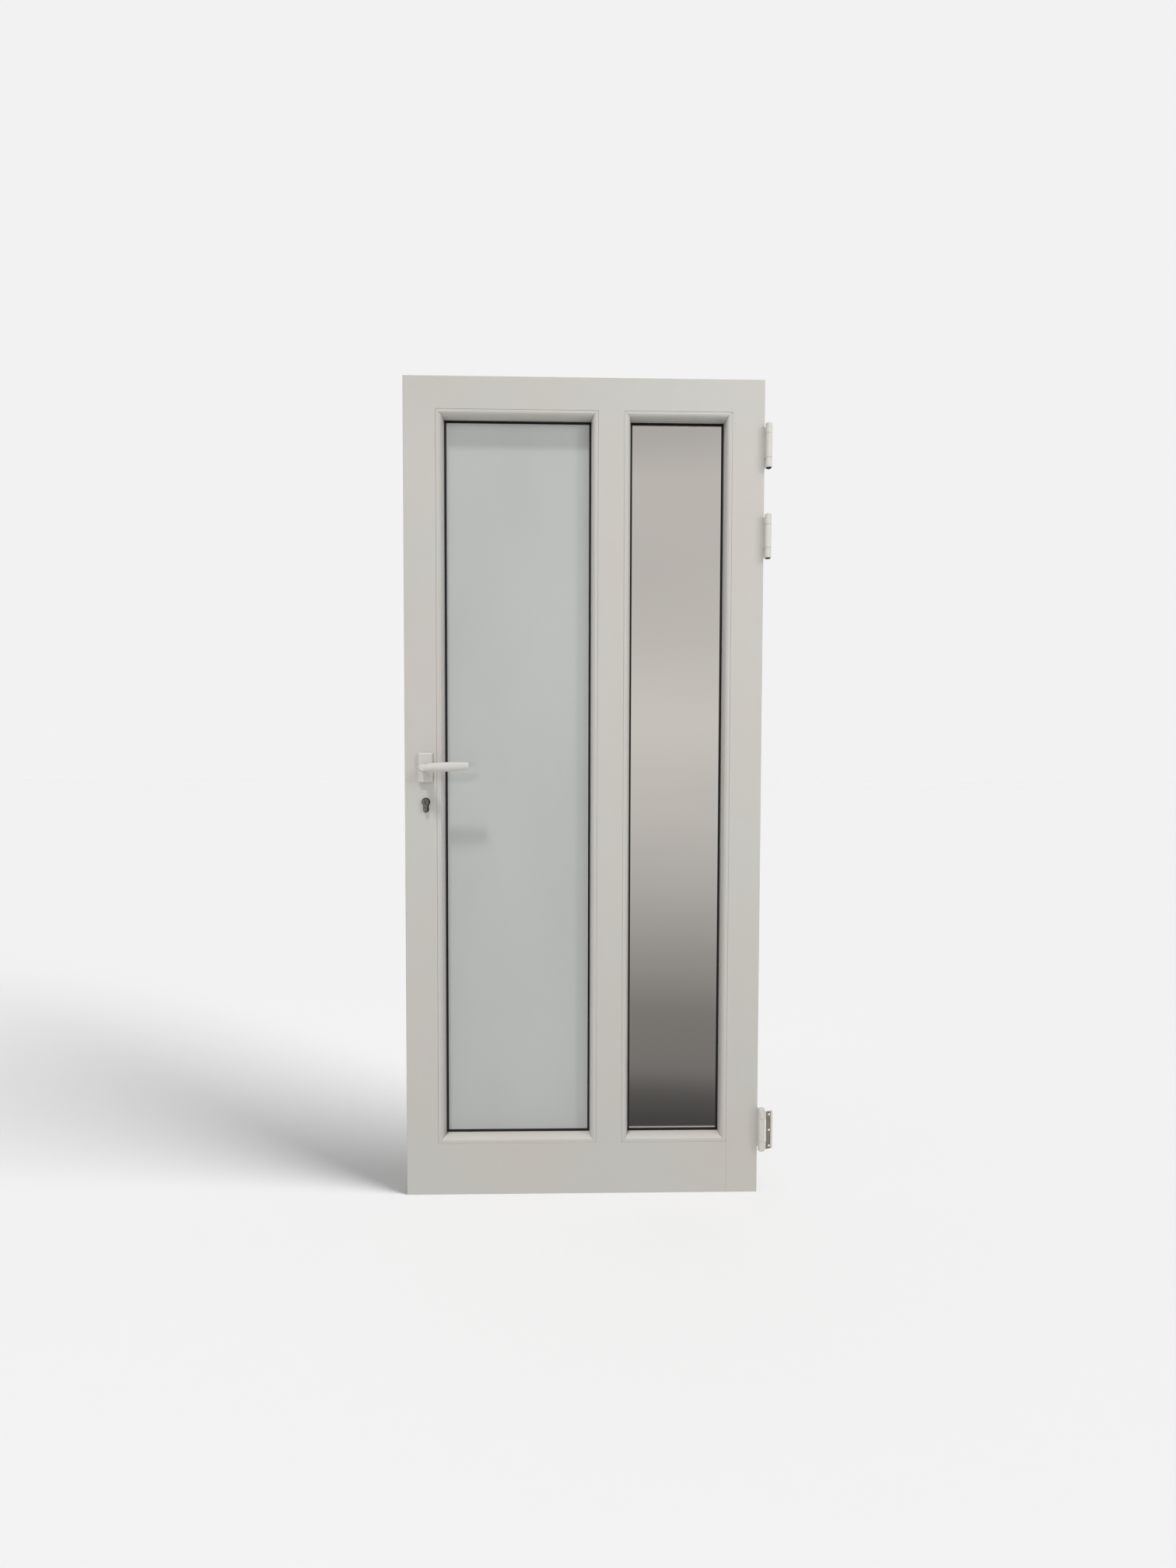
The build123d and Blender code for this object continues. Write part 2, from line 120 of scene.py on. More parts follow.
def length_prop(name, description, millimetres):
    """Length property with its default given in millimetres."""
    return bpy.props.FloatProperty(
        name=name, description=description, default=millimetres * MM, min=0, unit="LENGTH", precision=4
    )


def light_prop(name, description, strength):
    """Property with the strength of one of the studio's lights."""
    return bpy.props.FloatProperty(name=name, description=description, default=strength, min=0)


# Sizes and colours that a user would change


class DoorFinishes(bpy.types.PropertyGroup):
    """Colours and surface grain of the door's own materials."""

    coat: colour_prop("Coat", "Powder coat of stiles, rails and beads", "#BBBBB5")
    coat_drift: colour_prop("Coat drift", "Tone that the coat drifts to over its length", "#BEB8B3")
    handle_coat: colour_prop("Handle coat", "Powder coat of the levers and roses", "#C5C3BD")
    hinge_coat: colour_prop("Hinge coat", "Powder coat of the hinge leaves and knuckles", "#C8C6BF")
    # Darker brownish grey laid on the back faces of the frame plates
    dark_back_tone: colour_prop("Bare back", "Primed metal of the hinge leaves' mounting faces", "#80786E")
    orange_peel: length_prop("Orange peel", "Width of the ripples in the baked coat", 2.2)
    opal: colour_prop("Opal glass", "White enamelled glass of the wide light", "#B2B4B1")
    tint: colour_prop("Solar glass", "Reflection colour of the coated glass", "#C8C3BD")
    rubber: colour_prop("Rubber", "Glazing gaskets", "#070708")
    cylinder: colour_prop("Cylinder", "Nickel plating of the lock cylinder", "#84827A")
    stainless: colour_prop("Stainless steel", "Ground steel of the faceplate and pins", "#C4C3BF")
    screw_steel: colour_prop("Screw steel", "Turned steel of the screws", "#CDCBC6")
    zinc: colour_prop("Zinc", "Plating of the bolts, the lock case and the spindle", "#BFC2C4")
    cap: colour_prop("Cap", "Black nylon of the hinges' bottom caps", "#151516")
    cap_drift: colour_prop("Cap drift", "Tone that the caps drift to", "#212122")


class DoorSeals(bpy.types.PropertyGroup):
    """Sizes of the small fillers between the door's parts."""

    lip_reach: length_prop("Lip reach", "How far a gasket's lip lies on the pane", 2.0)
    lip_height: length_prop("Lip height", "Height of a gasket's lip at its root", 2.0)
    joint_gap: length_prop("Joint gap", "Gap between stiles and rails", 0.4)
    joint_depth: length_prop("Joint depth", "Depth of the sealer under the leaf's faces", 0.1)
    bush_bore: length_prop("Bush bore", "Radius of the hole in a rose's bush", 9.7)
    bush_radius: length_prop("Bush radius", "Outer radius of a rose's bush", 10.25)


class DoorScrews(bpy.types.PropertyGroup):
    """Sizes of the countersunk screws in the hinges and the lock."""

    head_radius: length_prop("Head radius", "Radius of a screw head", 4.8)
    shank_radius: length_prop("Shank radius", "Radius under the head", 2.4)
    head_height: length_prop("Head height", "Height of the countersunk head", 2.4)
    sink: length_prop("Sink", "Depth of the head under the plate's face", 0.15)
    recess_width: length_prop("Recess width", "Width of the cross recess", 1.1)
    recess_length: length_prop("Recess length", "Length of the cross recess", 5.2)
    recess_depth: length_prop("Recess depth", "Depth of the cross recess", 1.5)
    hinge_pitch: length_prop("Hinge pitch", "Spacing of the screws in a hinge", 40)
    faceplate_pitch: length_prop("Faceplate pitch", "Spacing of the screws in the lock's faceplate", 222)


class DoorStudio(bpy.types.PropertyGroup):
    """Light, floor and camera of the studio."""

    backdrop: colour_prop("Backdrop", "Colour of the backdrop behind the door", "#F2F2F2")
    floor: colour_prop("Floor", "Colour of the matt floor", "#E6E6E6")
    floor_size: bpy.props.FloatProperty(
        name="Floor size", description="Side of the square floor", default=60, min=4, unit="LENGTH"
    )
    sky: light_prop("Sky", "Soft light from all round", 0.25)
    key: light_prop("Key", "Steep light from above and left", 2.0)
    front: light_prop("Front", "Weak light from the front", 0.36)
    side: light_prop("Side", "Weak light from the right", 0.45)
    back: light_prop("Back", "Light on the far side", 1.4)
    ground: light_prop("Ground", "Slanting light on the floor", 3.86)
    ground_fill: light_prop("Ground fill", "Light from overhead on the floor", 0.7)
    panel: bpy.props.FloatProperty(
        name="Panel", description="Light panel at the upper right", default=18, min=0, unit="POWER"
    )
    lens: bpy.props.FloatProperty(
        name="Lens", description="Focal length on a 36 mm sensor", default=17.82, min=1, unit="CAMERA"
    )


# Node trees


def add_node(tree, kind, settings=None, **links):
    """Add a node with its settings, and set or link its inputs by name, with _ for a space."""
    node = tree.nodes.new(kind)
    for key, value in (settings or {}).items():
        setattr(node, key, value)
    for key, value in links.items():
        indexed = key.startswith("in") and key[2:].isdigit()
        socket = node.inputs[int(key[2:])] if indexed else node.inputs[key.replace("_", " ")]
        if isinstance(value, bpy.types.NodeSocket):
            tree.links.new(value, socket)
        else:
            socket.default_value = value
    return node


def new_material(name):
    """Empty material with an output, returned with its tree and the output node."""
    material = bpy.data.materials.new(name)
    material.use_nodes = True
    tree = material.node_tree
    tree.nodes.clear()
    return material, tree, tree.nodes.new("ShaderNodeOutputMaterial")


def place_in(tree, squeeze=(1, 1, 1)):
    """Object coordinates in metres, squeezed along an axis where a pattern is drawn out."""
    coordinates = add_node(tree, "ShaderNodeTexCoord").outputs["Object"]
    return add_node(tree, "ShaderNodeMapping", Vector=coordinates, Scale=squeeze).outputs["Vector"]


def noise(tree, place, size_mm, detail=2.0):
    """Noise with patches of about that size."""
    return add_node(
        tree, "ShaderNodeTexNoise", Vector=place, Scale=1 / (size_mm * MM), Detail=detail
    ).outputs["Fac"]


def spread(tree, value, low, high, start=0.25, end=0.75):
    """Ease a pattern from one value to another, with no hard edge at either end."""
    return add_node(
        tree,
        "ShaderNodeMapRange",
        {"interpolation_type": "SMOOTHSTEP"},
        Value=value,
        From_Min=start,
        From_Max=end,
        To_Min=low,
        To_Max=high,
    ).outputs["Result"]


def calculate(tree, operation, first, second):
    """Result of a sum on two numbers or sockets."""
    return add_node(tree, "ShaderNodeMath", {"operation": operation}, in0=first, in1=second).outputs[0]


def vector(tree, **parts):
    """Vector with these parts, and zero for those left out."""
    return add_node(tree, "ShaderNodeCombineXYZ", **parts).outputs["Vector"]


def scaled(colour, factor):
    """Colour made darker or lighter by a factor."""
    return (*(min(1, c * factor) for c in colour[:3]), 1.0)


def drift(tree, factor, first, second):
    """Colour between two tones, where inputs 6 and 7 and output 2 are a mix node's colours."""
    return add_node(
        tree, "ShaderNodeMix", {"data_type": "RGBA"}, Factor=factor, in6=first, in7=second
    ).outputs[2]


def relief(tree, height, distance_mm, strength=1.0):
    """Bump from a height between 0 and 1, with its full depth in millimetres."""
    return add_node(
        tree, "ShaderNodeBump", Strength=strength, Distance=distance_mm * MM, Height=height
    ).outputs["Normal"]


def finish_material(tree, output, **inputs):
    """Principled shader with these inputs, joined to the output."""
    shader = add_node(tree, "ShaderNodeBsdfPrincipled", **inputs)
    tree.links.new(shader.outputs["BSDF"], output.inputs["Surface"])


def powder_coat(name, colour, drift_to, peel, roughness):
    """Gloss polyester powder coat, sprayed and baked: faint orange peel, and a tone that drifts."""
    material, tree, output = new_material(name)
    place = place_in(tree)
    tone = drift(tree, spread(tree, noise(tree, place, 420), 0, 1), colour, drift_to)
    ripples = noise(tree, place, peel / MM, 1.0)
    gloss = spread(tree, noise(tree, place, 60), roughness - 0.02, roughness + 0.03)
    finish_material(
        tree, output, Base_Color=tone, Roughness=gloss, IOR=1.5, Normal=relief(tree, ripples, 0.02, 0.3)
    )
    return material


def dark_back_coat(name, colour, back_tone, peel, turn, axis):
    """Powder coat on a hinge leaf, with a dull, darker brownish grey on its back face between the
    knuckle and the free edge.
    """
    material, tree, output = new_material(name)
    coordinates = add_node(tree, "ShaderNodeTexCoord").outputs
    place = coordinates["Object"]
    facing = Vector((math.cos(turn), -math.sin(turn), 0))
    reach = Vector((math.sin(turn), math.cos(turn), 0))
    dot = {"operation": "DOT_PRODUCT"}
    along = add_node(tree, "ShaderNodeVectorMath", dot, in0=place, in1=reach).outputs["Value"]
    toward = add_node(
        tree, "ShaderNodeVectorMath", dot, in0=coordinates["Normal"], in1=facing
    ).outputs["Value"]
    # The darker part stops short of the leaf's free edge, and none is laid on the knuckles
    root = reach.dot(axis)
    ragged = spread(tree, noise(tree, place, 3), -DARK_BACK_RAGGED, DARK_BACK_RAGGED)
    edge = calculate(tree, "ADD", along, ragged)
    past_knuckle = spread(tree, along, 0, 1, *(root + distance for distance in DARK_BACK_START))
    short_of_edge = spread(tree, edge, 1, 0, *(root + distance for distance in DARK_BACK_END))
    on_back = spread(tree, toward, 0, 1, *DARK_BACK_SQUARE)
    mask = calculate(tree, "MULTIPLY", past_knuckle, short_of_edge)
    mask = calculate(tree, "MULTIPLY", mask, on_back)
    # The darker brownish grey, in small patches
    back_mottle = drift(tree, spread(tree, noise(tree, place, 9, 3.0), 0, 1), back_tone, scaled(back_tone, 0.8))
    tone = drift(tree, mask, colour, back_mottle)
    ripples = noise(tree, place, peel / MM, 1.0)
    finish_material(
        tree,
        output,
        Base_Color=tone,
        Roughness=spread(tree, mask, 0.24, 0.55, 0, 1),
        IOR=1.5,
        Normal=relief(tree, ripples, 0.02, 0.3),
    )
    return material


def enamelled_glass(name, colour):
    """Float glass with white enamel baked on its back: even and glossy, with a faint green cast."""
    material, tree, output = new_material(name)
    place = place_in(tree, (1, 1, 0.4))
    tone = drift(tree, spread(tree, noise(tree, place, 260), 0, 1), colour, scaled(colour, 0.94))
    waves = noise(tree, place, 180, 1.0)
    finish_material(
        tree, output, Base_Color=tone, Roughness=0.09, IOR=1.52, Normal=relief(tree, waves, 0.05, 0.5)
    )
    return material


def solar_glass(name, colour):
    """Grey float glass with a sputtered metal film: a dark mirror, faintly wavy from the rollers."""
    material, tree, output = new_material(name)
    place = place_in(tree, (0.3, 1, 1))
    tone = drift(tree, spread(tree, noise(tree, place, 300), 0, 1), colour, scaled(colour, 0.92))
    waves = noise(tree, place, 240, 1.0)
    finish_material(
        tree,
        output,
        Base_Color=tone,
        Metallic=1.0,
        Roughness=0.06,
        Normal=relief(tree, waves, 0.08, 0.4),
    )
    return material


def gasket_rubber(name, colour):
    """Extruded EPDM rubber: matt black, with the fine drag lines of the die along its length."""
    material, tree, output = new_material(name)
    place = place_in(tree)
    tone = drift(tree, spread(tree, noise(tree, place, 14), 0, 1), colour, scaled(colour, 2.2))
    grain = noise(tree, place, 0.8)
    finish_material(
        tree, output, Base_Color=tone, Roughness=0.62, IOR=1.5, Normal=relief(tree, grain, 0.04, 0.5)
    )
    return material


def brushed_steel(name, colour, roughness, squeeze):
    """Stainless steel, ground with a belt or turned: fine streaks, drawn out where it was ground."""
    material, tree, output = new_material(name)
    place = place_in(tree, squeeze)
    streaks = noise(tree, place, 0.5, 3.0)
    tone = drift(tree, spread(tree, streaks, 0, 1), colour, scaled(colour, 0.8))
    gloss = spread(tree, streaks, roughness - 0.06, roughness + 0.08)
    finish_material(
        tree,
        output,
        Base_Color=tone,
        Metallic=1.0,
        Roughness=gloss,
        Normal=relief(tree, streaks, 0.01, 0.4),
    )
    return material


def zinc_plate(name, colour):
    """Bright zinc plating on steel: bluish grey with soft cloudy patches."""
    material, tree, output = new_material(name)
    place = place_in(tree)
    clouds = noise(tree, place, 7, 3.0)
    bluer = (colour[0] * 0.86, colour[1] * 0.92, colour[2], 1.0)
    tone = drift(tree, spread(tree, clouds, 0, 1), colour, bluer)
    finish_material(
        tree,
        output,
        Base_Color=tone,
        Metallic=1.0,
        Roughness=spread(tree, clouds, 0.28, 0.45),
        Normal=relief(tree, noise(tree, place, 1.2), 0.01, 0.3),
    )
    return material


def nickel_plate(name, colour):
    """Brass turned and nickel plated: a greyish brown sheen, dulled in patches by use."""
    material, tree, output = new_material(name)
    place = place_in(tree)
    rubbed = noise(tree, place, 5, 4.0)
    finish_material(
        tree,
        output,
        Base_Color=drift(tree, spread(tree, rubbed, 0, 1), colour, scaled(colour, 0.55)),
        Metallic=1.0,
        Roughness=spread(tree, rubbed, 0.28, 0.42),
        Normal=relief(tree, noise(tree, place, 0.4), 0.01, 0.4),
    )
    return material


def moulded_cap(name, colour, drift_to):
    """Black nylon moulded in a sparked tool: a dull pebbled skin."""
    material, tree, output = new_material(name)
    place = place_in(tree)
    pebbles = noise(tree, place, 0.6)
    tone = drift(tree, spread(tree, noise(tree, place, 6), 0, 1), colour, drift_to)
    finish_material(
        tree, output, Base_Color=tone, Roughness=0.48, IOR=1.53, Normal=relief(tree, pebbles, 0.03, 0.6)
    )
    return material


def moulded_bush(name, colour):
    """White nylon moulded in a polished tool: smooth, with a soft waxy sheen."""
    material, tree, output = new_material(name)
    place = place_in(tree)
    tone = drift(tree, spread(tree, noise(tree, place, 4), 0, 1), colour, scaled(colour, 0.9))
    finish_material(
        tree,
        output,
        Base_Color=tone,
        Roughness=0.4,
        IOR=1.53,
        Normal=relief(tree, noise(tree, place, 0.8), 0.01, 0.3),
    )
    return material


def joint_sealer(name, colour):
    """Acrylic sealer tinted to the coat and wiped off level: flatter than the coat beside it."""
    material, tree, output = new_material(name)
    place = place_in(tree)
    tone = drift(tree, spread(tree, noise(tree, place, 5), 0, 1), colour, scaled(colour, 0.86))
    finish_material(
        tree,
        output,
        Base_Color=tone,
        Roughness=0.5,
        IOR=1.47,
        Normal=relief(tree, noise(tree, place, 0.7), 0.02, 0.4),
    )
    return material


def dress(slot_name, material, names=None):
    """Put a material on every CAD node of a slot, or on those named."""
    for node, slot in SLOT_OF.items():
        if slot != slot_name or (names and node not in names):
            continue
        mesh = NODES[node].data
        if not mesh.materials:
            mesh.materials.append(material)
        for index in range(len(mesh.materials)):
            mesh.materials[index] = material


# Pieces of mesh


def add_piece(name, points, faces, material):
    """Closed mesh piece that rides on the leaf."""
    mesh = bpy.data.meshes.new(name)
    mesh.from_pydata(points, [], faces)
    shape = bmesh.new()
    shape.from_mesh(mesh)
    bmesh.ops.recalc_face_normals(shape, faces=shape.faces)
    shape.to_mesh(mesh)
    shape.free()
    mesh.materials.append(material)
    piece = bpy.data.objects.new(name, mesh)
    bpy.context.scene.collection.objects.link(piece)
    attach(piece, "leaf")
    return piece


def ring_faces(sections, size, start):
    """Quads of a closed ring through sections of that many points, numbered from start."""
    faces = []
    for section in range(sections):
        here = start + section * size
        there = start + (section + 1) % sections * size
        for corner in range(size):
            following = (corner + 1) % size
            faces.append((here + corner, here + following, there + following, there + corner))
    return faces


def box_mesh(points, faces, low, high):
    """Add an upright box between two corners to a mesh's points and faces."""
    start = len(points)
    for z in (low[2], high[2]):
        points += [(low[0], low[1], z), (high[0], low[1], z)]
        points += [(high[0], high[1], z), (low[0], high[1], z)]
    faces += [(start, start + 3, start + 2, start + 1), (start + 4, start + 5, start + 6, start + 7)]
    for corner in range(4):
        following = (corner + 1) % 4
        faces.append((start + corner, start + following, start + following + 4, start + corner + 4))


# Countersunk screws


def moved(tree, geometry, place):
    """Geometry moved to a place."""
    return add_node(
        tree, "GeometryNodeTransform", Geometry=geometry, Translation=place
    ).outputs["Geometry"]


def screw_tree():
    """Geometry nodes that turn each point into a row of countersunk screws with a cross recess."""
    tree = bpy.data.node_groups.new("countersunk_screw_rows", "GeometryNodeTree")
    face = tree.interface
    face.new_socket("Geometry", in_out="INPUT", socket_type="NodeSocketGeometry")
    for name in ("Head Radius", "Shank Radius", "Head Height", "Sink"):
        face.new_socket(name, in_out="INPUT", socket_type="NodeSocketFloat")
    for name in ("Recess Width", "Recess Length", "Recess Depth", "Pitch"):
        face.new_socket(name, in_out="INPUT", socket_type="NodeSocketFloat")
    face.new_socket("Count", in_out="INPUT", socket_type="NodeSocketInt")
    face.new_socket("Turn", in_out="INPUT", socket_type="NodeSocketVector")
    face.new_socket("Material", in_out="INPUT", socket_type="NodeSocketMaterial")
    face.new_socket("Geometry", in_out="OUTPUT", socket_type="NodeSocketGeometry")
    given = tree.nodes.new("NodeGroupInput").outputs
    half_height = calculate(tree, "MULTIPLY", given["Head Height"], -0.5)
    head_middle = calculate(tree, "SUBTRACT", half_height, given["Sink"])
    # The cone's base sits at the origin, so it is moved down by its height and the sink
    head_foot = calculate(tree, "ADD", head_middle, half_height)
    head = add_node(
        tree,
        "GeometryNodeMeshCone",
        {"fill_type": "NGON"},
        Vertices=SCREW_SIDES,
        Radius_Top=given["Head Radius"],
        Radius_Bottom=given["Shank Radius"],
        Depth=given["Head Height"],
    ).outputs["Mesh"]
    screw = moved(tree, head, vector(tree, Z=head_foot))
    # A recess is cut by a box of twice its depth, centred on the head's face
    deep = calculate(tree, "MULTIPLY", given["Recess Depth"], 2.0)
    recess_place = vector(tree, Z=calculate(tree, "MULTIPLY", given["Sink"], -1.0))
    for across, along in (("Recess Width", "Recess Length"), ("Recess Length", "Recess Width")):
        size = vector(tree, X=given[across], Y=given[along], Z=deep)
        arm = add_node(tree, "GeometryNodeMeshCube", Size=size).outputs["Mesh"]
        cut = add_node(tree, "GeometryNodeMeshBoolean", {"operation": "DIFFERENCE", "solver": "EXACT"})
        tree.links.new(screw, cut.inputs["Mesh 1"])
        tree.links.new(moved(tree, arm, recess_place), cut.inputs["Mesh 2"])
        screw = cut.outputs["Mesh"]
    # A row is centred on its point and runs up the door
    gaps = calculate(tree, "SUBTRACT", given["Count"], 1.0)
    span = calculate(tree, "MULTIPLY", gaps, given["Pitch"])
    start = calculate(tree, "MULTIPLY", span, -0.5)
    row = add_node(
        tree,
        "GeometryNodeMeshLine",
        Count=given["Count"],
        Start_Location=vector(tree, Z=start),
        Offset=vector(tree, Z=given["Pitch"]),
    ).outputs["Mesh"]
    rows = add_node(tree, "GeometryNodeInstanceOnPoints", Points=given["Geometry"], Instance=row)
    spots = add_node(tree, "GeometryNodeRealizeInstances", Geometry=rows.outputs["Instances"])
    screws = add_node(
        tree,
        "GeometryNodeInstanceOnPoints",
        Points=spots.outputs["Geometry"],
        Instance=screw,
        Rotation=given["Turn"],
    )
    solid = add_node(tree, "GeometryNodeRealizeInstances", Geometry=screws.outputs["Instances"])
    coated = add_node(
        tree, "GeometryNodeSetMaterial", Geometry=solid.outputs["Geometry"], Material=given["Material"]
    )
    result = tree.nodes.new("NodeGroupOutput")
    tree.links.new(coated.outputs["Geometry"], result.inputs["Geometry"])
    return tree


def screw_rows(name, tree, sizes, points, count, pitch, turn, material):
    """Plain mesh of screw rows about these points, on its own object at the origin."""
    mesh = bpy.data.meshes.new(name)
    mesh.from_pydata(points, [], [])
    piece = bpy.data.objects.new(name, mesh)
    bpy.context.scene.collection.objects.link(piece)
    modifier = piece.modifiers.new("screws", "NODES")
    modifier.node_group = tree
    values = {
        "Head Radius": sizes.head_radius,
        "Shank Radius": sizes.shank_radius,
        "Head Height": sizes.head_height,
        "Sink": sizes.sink,
        "Recess Width": sizes.recess_width,
        "Recess Length": sizes.recess_length,
        "Recess Depth": sizes.recess_depth,
        "Pitch": pitch,
        "Count": count,
        "Turn": turn,
        "Material": material,
    }
    for socket in tree.interface.items_tree:
        if socket.in_out == "INPUT" and socket.name in values:
            modifier[socket.identifier] = values[socket.name]
    bpy.context.view_layer.update()
    evaluated = piece.evaluated_get(bpy.context.evaluated_depsgraph_get())
    solid = bpy.data.meshes.new_from_object(evaluated)
    piece.modifiers.clear()
    piece.data = solid
    solid.name = name
    if not solid.polygons:
        raise RuntimeError(f"{name} came out empty")
    return piece


# Operators


class DOOR_OT_coat_frame(bpy.types.Operator):
    """Powder coat the stiles, rails, mullion and glazing beads"""

    bl_idname = "door.coat_frame"
    bl_label = "Coat frame"

    def execute(self, context):
        colours = context.scene.door_finishes
        tone = tuple(colours.coat)
        drift_to = tuple(colours.coat_drift)
        coat = powder_coat("gloss_powder_coat", tone, drift_to, colours.orange_peel, 0.17)
        dress("powder_coated_aluminium", coat)
        return {"FINISHED"}


class DOOR_OT_glaze(bpy.types.Operator):
    """Give the panes and their gaskets their materials"""

    bl_idname = "door.glaze"
    bl_label = "Glaze"

    def execute(self, context):
        colours = context.scene.door_finishes
        dress("opal_glass", enamelled_glass("enamelled_float_glass", tuple(colours.opal)))
        dress("tinted_glass", solar_glass("solar_control_glass", tuple(colours.tint)))
        dress("epdm_rubber", gasket_rubber("extruded_epdm_rubber", tuple(colours.rubber)))
        return {"FINISHED"}


class DOOR_OT_finish_lock(bpy.types.Operator):
    """Finish the levers, roses, lock case, bolts and cylinder"""

    bl_idname = "door.finish_lock"
    bl_label = "Finish lock"

    def execute(self, context):
        colours = context.scene.door_finishes
        tone = tuple(colours.handle_coat)
        coat = powder_coat("handle_powder_coat", tone, tone, colours.orange_peel, 0.22)
        dress("handle_aluminium", coat)
        streaked = (1, 1, 0.03)
        steel = brushed_steel("ground_stainless_steel", tuple(colours.stainless), 0.34, streaked)
        dress("stainless_steel", steel)
        dress("zinc_plated_steel", zinc_plate("zinc_plated_steel", tuple(colours.zinc)))
        dress("lock_brass", nickel_plate("nickel_plated_brass", tuple(colours.cylinder)))
        return {"FINISHED"}


class DOOR_OT_finish_hinges(bpy.types.Operator):
    """Finish the hinge leaves, knuckles and caps"""

    bl_idname = "door.finish_hinges"
    bl_label = "Finish hinges"

    def execute(self, context):
        colours = context.scene.door_finishes
        tone = tuple(colours.hinge_coat)
        back_tone = tuple(colours.dark_back_tone)
        peel = colours.orange_peel
        dress("hinge_aluminium", powder_coat("hinge_powder_coat", tone, tone, peel, 0.24))
        cap = moulded_cap("moulded_black_nylon", tuple(colours.cap), tuple(colours.cap_drift))
        dress("cap_plastic", cap)
        joints = {joint["name"]: joint for joint in frame["record"]["behaviour"]["joints"]}
        joint = joints["lower_plate_swing"]
        axis = Vector(joint["pos_m"])
        swing = math.radians(joint["range_deg"][1])
        shut = dark_back_coat("dark_back_powder_coat_shut", tone, back_tone, peel, 0.0, axis)
        dress("hinge_aluminium", shut, ("upper_frame_plate", "middle_frame_plate"))
        swung = dark_back_coat("dark_back_powder_coat_swung", tone, back_tone, peel, swing, axis)
        dress("hinge_aluminium", swung, ("lower_frame_plate",))
        return {"FINISHED"}


class DOOR_OT_fit_seals(bpy.types.Operator):
    """Press the gaskets' lips onto the panes, seal the leaf's joints and line the roses' holes"""

    bl_idname = "door.fit_seals"
    bl_label = "Fit seals"

    def execute(self, context):
        sizes = context.scene.door_seals
        colours = context.scene.door_finishes
        rubber = bpy.data.materials.get("extruded_epdm_rubber")
        if rubber is None:
            raise RuntimeError("the door has to be glazed before its seals are fitted")
        self.press_lips(sizes, rubber)
        sealer = joint_sealer("tinted_acrylic_sealer", tuple(colours.coat))
        self.seal_joints(sizes, sealer)
        self.line_roses(sizes, moulded_bush("moulded_white_nylon", tuple(colours.handle_coat)))
        return {"FINISHED"}

    def press_lips(self, sizes, rubber):
        """A wedge-shaped lip all round each gasket's inner edge, lying on the pane."""
        points = []
        faces = []
        for light, pane in (("wide", "opal_pane"), ("narrow", "tinted_pane")):
            pane_low, pane_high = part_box(pane)
            for side, land, out in (("front", pane_low.y, -1), ("rear", pane_high.y, 1)):
                low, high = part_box(f"{light}_{side}_gasket")
                inset = LIP_ROOT[side]
                foot = land + out * LIP_LIFT
                start = len(points)
                for x, z, x_in, z_in in (
                    (low.x + inset, low.z + inset, 1, 1),
                    (high.x - inset, low.z + inset, -1, 1),
                    (high.x - inset, high.z - inset, -1, -1),
                    (low.x + inset, high.z - inset, 1, -1),
                ):
                    tip = (x + x_in * sizes.lip_reach, foot, z + z_in * sizes.lip_reach)
                    points += [(x, land + out * sizes.lip_height, z), tip, (x, foot, z)]
                faces += ring_faces(4, 3, start)
        add_piece("gasket_lips", points, faces, rubber)

    def seal_joints(self, sizes, sealer):
        """Thin walls of sealer in the mitres of the top corners and at the bottom rail's ends."""
        stile_low, stile_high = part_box("lock_stile")
        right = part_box("hinge_stile")[1].x
        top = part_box("top_rail")[1].z
        rail_low, rail_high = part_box("bottom_rail")
        sight_low, sight_high = (corner.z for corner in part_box("mullion"))
        front = stile_low.y + sizes.joint_depth
        back = stile_high.y - sizes.joint_depth
        half = SEALER_SHARE * sizes.joint_gap
        points = []
        faces = []
        for x in (rail_low.x - sizes.joint_gap / 2, rail_high.x + sizes.joint_gap / 2):
            foot = (x - half, front, stile_low.z + SEALER_FOOT)
            box_mesh(points, faces, foot, (x + half, back, sight_low))
        across = half * math.sqrt(2)
        for corner_x, inward in ((stile_low.x, 1), (right, -1)):
            start = len(points)
            outer = (corner_x + inward * SEALER_CORNER, top - SEALER_CORNER)
            inner = (corner_x + inward * (top - sight_high), sight_high)
            for x, z in (outer, inner):
                for y in (front, back):
                    points += [(x, y, z - across), (x + inward * across, y, z)]
            faces += [
                (start, start + 1, start + 3, start + 2),
                (start + 4, start + 6, start + 7, start + 5),
                (start, start + 4, start + 5, start + 1),
                (start + 2, start + 3, start + 7, start + 6),
                (start, start + 2, start + 6, start + 4),
                (start + 1, start + 5, start + 7, start + 3),
            ]
        add_piece("joint_sealer", points, faces, sealer)

    def line_roses(self, sizes, nylon):
        """A thin bush in each rose, round the lever's neck."""
        points = []
        faces = []
        spindle_low, spindle_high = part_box("spindle")
        centre = (spindle_low + spindle_high) / 2
        for face, into in ((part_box("front_rose")[0].y, 1), (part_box("rear_rose")[1].y, -1)):
            inner = face + into * BUSH_RECESS
            deep = face + into * BUSH_DEPTH
            start = len(points)
            for step in range(BUSH_SIDES):
                turn = step * math.tau / BUSH_SIDES
                for radius, y in (
                    (sizes.bush_bore, inner),
                    (sizes.bush_radius, inner),
                    (sizes.bush_radius, deep),
                    (sizes.bush_bore, deep),
                ):
                    across = radius * math.cos(turn)
                    points.append((centre.x + across, y, centre.z + radius * math.sin(turn)))
            faces += ring_faces(BUSH_SIDES, 4, start)
        add_piece("rose_bushes", points, faces, nylon)


